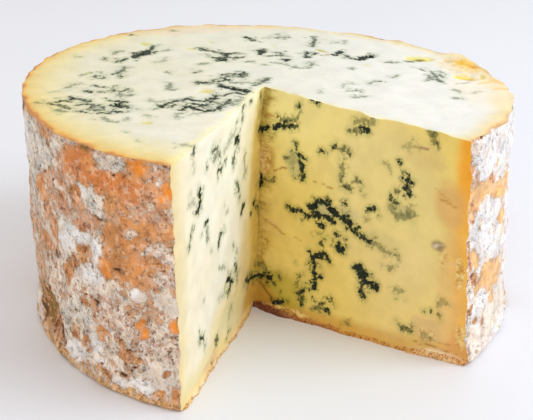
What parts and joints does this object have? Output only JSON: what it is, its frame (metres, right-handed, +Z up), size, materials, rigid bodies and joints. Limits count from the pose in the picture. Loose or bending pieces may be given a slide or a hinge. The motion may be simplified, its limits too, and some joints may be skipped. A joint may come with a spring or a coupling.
{
  "type": "blue cheese drum with a wedge cut out",
  "caption": "Low drum of blue-veined cheese with a mottled brown and white crust, cut flat across the top, with a wedge missing that bares the veined paste.",
  "frame": {"origin": "on the drum's axis, in the middle of the flat base", "axes": "+Z up along the drum's axis, -Y out through the middle of the gap where the wedge is missing"},
  "size_m": [0.2049, 0.1908, 0.0989],
  "materials": {
    "cheese": "food: ivory to yellow crumbly paste with dark green veins, and a matt mottled brown and white crust round the side and under the base"
  },
  "bodies": {
    "root": {"cheese": "cheese"}
  },
  "joints": []
}
